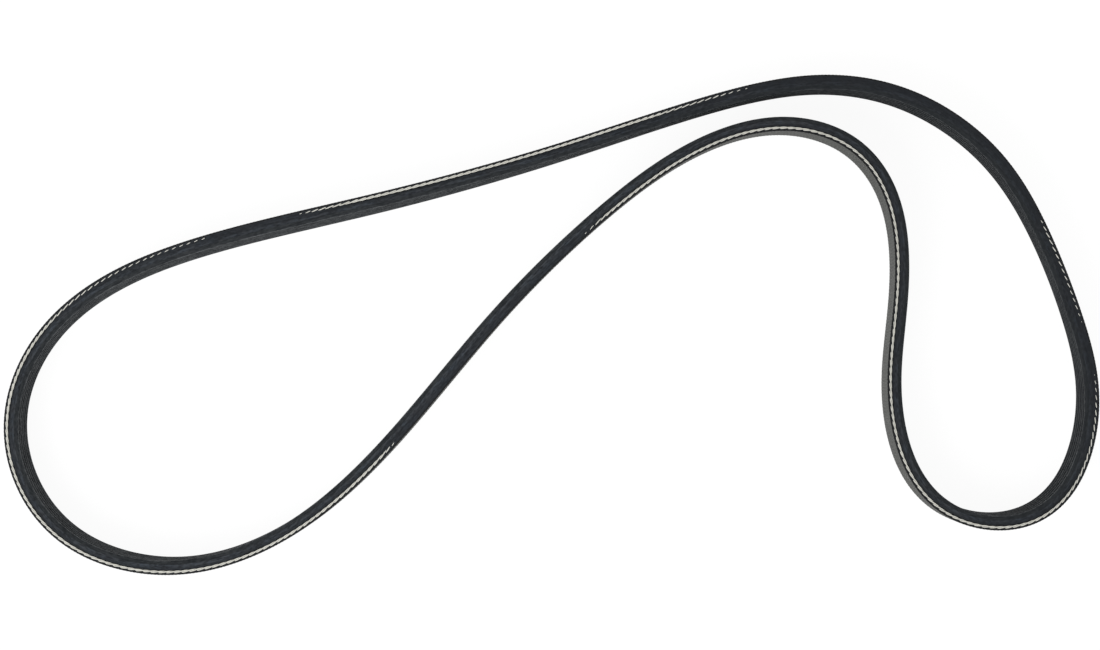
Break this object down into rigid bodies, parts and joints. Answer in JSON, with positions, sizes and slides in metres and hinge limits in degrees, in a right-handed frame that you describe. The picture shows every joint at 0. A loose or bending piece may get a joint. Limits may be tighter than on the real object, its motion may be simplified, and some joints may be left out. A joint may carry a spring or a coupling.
{
  "type": "serpentine belt",
  "caption": "Endless ribbed serpentine drive belt standing on one cut edge in a loose S-bent loop, ribs inside, smooth back outside.",
  "frame": {"origin": "middle of the loop's bounding rectangle, on the surface that the belt stands on", "axes": "+X along the loop's longest reach, from the long lobe to the folded lobe; +Y towards the long outer run; +Z across the belt's width, from the foot edge to the upper edge"},
  "size_m": [0.333, 0.1522, 0.0202],
  "materials": {
    "belt_rubber": "matt black synthetic rubber, faintly blue, with cut edges and a finely ribbed grey back",
    "cord_polyester": "cream twisted polyester cord, bare where it was sliced"
  },
  "bodies": {
    "root": {"belt_body": "belt_rubber", "upper_edge_cord": "cord_polyester", "lower_edge_cord": "cord_polyester"}
  },
  "joints": []
}
